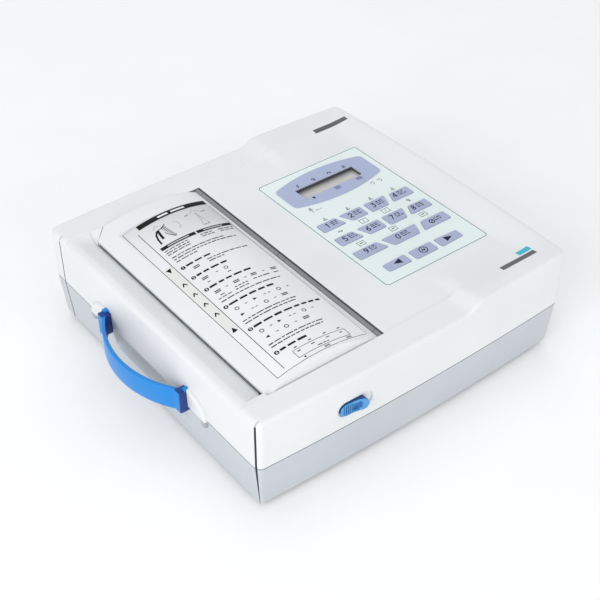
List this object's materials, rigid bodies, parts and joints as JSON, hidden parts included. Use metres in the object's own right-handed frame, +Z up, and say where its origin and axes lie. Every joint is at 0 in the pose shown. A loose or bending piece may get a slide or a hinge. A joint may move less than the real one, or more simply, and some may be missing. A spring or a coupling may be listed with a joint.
{
  "type": "ecg machine",
  "caption": "Portable ECG recorder: two-part case, arched paper door over a full-width thermal printer, numeric keypad with small display, strap handle and door release slide.",
  "frame": {"origin": "centre of the whole object's bounding box, on the plane of the feet", "axes": "+X to the user's right, along the width with the strap handle on the -X side; +Y to the back; +Z up"},
  "size_m": [0.3224, 0.2906, 0.0945],
  "materials": {
    "shell_white": "fine satin texture",
    "shell_grey": "fine satin texture",
    "handle_blue": "smooth satin",
    "latch_blue": "smooth satin",
    "panel_film": "printed polyester film",
    "lavender": "matt silicone and film",
    "window": "clear window",
    "label_film": "printed film",
    "steel": "plated",
    "aluminium": "extruded",
    "brass": "turned",
    "rubber": "matt",
    "dark_plastic": "moulded",
    "grey_plastic": "moulded",
    "gear_plastic": "acetal",
    "circuit_board": "soldered board",
    "display": "liquid crystal",
    "ceramic": "ceramic bar",
    "cell_sleeve": "shrink sleeve",
    "silicone": "moulded sheet",
    "paper": "coated paper",
    "cardboard": "wound board"
  },
  "bodies": {
    "case": {"base_shell": "shell_grey", "upper_shell": "shell_white", "carry_handle": "handle_blue", "handle_screws": "steel", "rubber_feet": "rubber", "case_screws": "steel", "keypad_overlay": "panel_film", "display_bezel": "lavender", "display_window": "window", "lcd_module": "display", "keypad_board": "circuit_board", "dome_mat": "silicone", "main_board": "circuit_board", "power_supply": "circuit_board", "battery_pack": "cell_sleeve", "battery_cover": "shell_grey", "printer_frame": "steel", "paper_tray": "grey_plastic", "thermal_head": "ceramic", "heat_sink": "aluminium", "head_springs": "steel", "tear_bar": "steel", "stepper_motor": "steel", "idler_axle": "steel", "hinge_pin": "steel", "power_inlet": "dark_plastic", "rocker_housing": "dark_plastic", "ground_stud": "brass", "serial_port": "steel", "patient_port": "steel", "jack_screws": "steel", "speaker": "dark_plastic"},
    "door": {"paper_door": "shell_white", "door_label": "label_film", "platen_bracket": "dark_plastic"},
    "platen": {"platen_roller": "rubber", "platen_shaft": "steel", "platen_gear": "gear_plastic"},
    "idler": {"idler_gear": "gear_plastic"},
    "pinion": {"motor_pinion": "brass"},
    "roll": {"paper_roll": "paper", "paper_core": "cardboard"},
    "latch": {"latch_slider": "latch_blue"},
    "rocker": {"power_rocker": "dark_plastic"},
    "key_1": {"key_1": "lavender"},
    "key_2": {"key_2": "lavender"},
    "key_3": {"key_3": "lavender"},
    "key_4": {"key_4": "lavender"},
    "key_5": {"key_5": "lavender"},
    "key_6": {"key_6": "lavender"},
    "key_7": {"key_7": "lavender"},
    "key_8": {"key_8": "lavender"},
    "key_9": {"key_9": "lavender"},
    "key_0": {"key_0": "lavender"},
    "key_function": {"key_function": "lavender"},
    "key_left": {"key_left": "lavender"},
    "key_record": {"key_record": "lavender"},
    "key_right": {"key_right": "lavender"}
  },
  "joints": [
    {"name": "door_hinge", "type": "hinge", "parent": "case", "child": "door", "pos_m": [-0.01195, 0.00181, 0.0844], "axis": [0, 1, 0], "range_deg": [0, 95]},
    {"name": "platen_spin", "type": "hinge", "parent": "door", "child": "platen", "pos_m": [-0.09925, 0.00181, 0.072], "axis": [0, 1, 0], "continuous": true},
    {"name": "idler_spin", "type": "hinge", "parent": "case", "child": "idler", "pos_m": [-0.09925, 0.11081, 0.051], "axis": [0, 1, 0], "continuous": true},
    {"name": "pinion_spin", "type": "hinge", "parent": "case", "child": "pinion", "pos_m": [-0.09925, 0.11081, 0.034], "axis": [0, 1, 0], "continuous": true},
    {"name": "roll_spin", "type": "hinge", "parent": "case", "child": "roll", "pos_m": [-0.05125, 0.00181, 0.04], "axis": [0, 1, 0], "continuous": true},
    {"name": "latch_slide", "type": "slide", "parent": "case", "child": "latch", "axis": [1, 0, 0], "range_m": [0, 0.004], "stiffness_N_per_m": 200, "springref_m": -0.001},
    {"name": "rocker_tilt", "type": "hinge", "parent": "case", "child": "rocker", "pos_m": [0.08575, 0.13581, 0.024], "axis": [1, 0, 0], "range_deg": [0, 19]},
    {"name": "key_1_press", "type": "slide", "parent": "case", "child": "key_1", "axis": [0, 0, -1], "range_m": [0, 0.001], "stiffness_N_per_m": 400, "springref_m": -0.0005},
    {"name": "key_2_press", "type": "slide", "parent": "case", "child": "key_2", "axis": [0, 0, -1], "range_m": [0, 0.001], "stiffness_N_per_m": 400, "springref_m": -0.0005},
    {"name": "key_3_press", "type": "slide", "parent": "case", "child": "key_3", "axis": [0, 0, -1], "range_m": [0, 0.001], "stiffness_N_per_m": 400, "springref_m": -0.0005},
    {"name": "key_4_press", "type": "slide", "parent": "case", "child": "key_4", "axis": [0, 0, -1], "range_m": [0, 0.001], "stiffness_N_per_m": 400, "springref_m": -0.0005},
    {"name": "key_5_press", "type": "slide", "parent": "case", "child": "key_5", "axis": [0, 0, -1], "range_m": [0, 0.001], "stiffness_N_per_m": 400, "springref_m": -0.0005},
    {"name": "key_6_press", "type": "slide", "parent": "case", "child": "key_6", "axis": [0, 0, -1], "range_m": [0, 0.001], "stiffness_N_per_m": 400, "springref_m": -0.0005},
    {"name": "key_7_press", "type": "slide", "parent": "case", "child": "key_7", "axis": [0, 0, -1], "range_m": [0, 0.001], "stiffness_N_per_m": 400, "springref_m": -0.0005},
    {"name": "key_8_press", "type": "slide", "parent": "case", "child": "key_8", "axis": [0, 0, -1], "range_m": [0, 0.001], "stiffness_N_per_m": 400, "springref_m": -0.0005},
    {"name": "key_9_press", "type": "slide", "parent": "case", "child": "key_9", "axis": [0, 0, -1], "range_m": [0, 0.001], "stiffness_N_per_m": 400, "springref_m": -0.0005},
    {"name": "key_0_press", "type": "slide", "parent": "case", "child": "key_0", "axis": [0, 0, -1], "range_m": [0, 0.001], "stiffness_N_per_m": 400, "springref_m": -0.0005},
    {"name": "key_function_press", "type": "slide", "parent": "case", "child": "key_function", "axis": [0, 0, -1], "range_m": [0, 0.001], "stiffness_N_per_m": 400, "springref_m": -0.0005},
    {"name": "key_left_press", "type": "slide", "parent": "case", "child": "key_left", "axis": [0, 0, -1], "range_m": [0, 0.001], "stiffness_N_per_m": 400, "springref_m": -0.0005},
    {"name": "key_record_press", "type": "slide", "parent": "case", "child": "key_record", "axis": [0, 0, -1], "range_m": [0, 0.001], "stiffness_N_per_m": 400, "springref_m": -0.0005},
    {"name": "key_right_press", "type": "slide", "parent": "case", "child": "key_right", "axis": [0, 0, -1], "range_m": [0, 0.001], "stiffness_N_per_m": 400, "springref_m": -0.0005}
  ],
  "couplings": [
    {"joint": "idler_spin", "follows": "platen_spin", "ratio": -0.75},
    {"joint": "pinion_spin", "follows": "platen_spin", "ratio": 1.8}
  ]
}
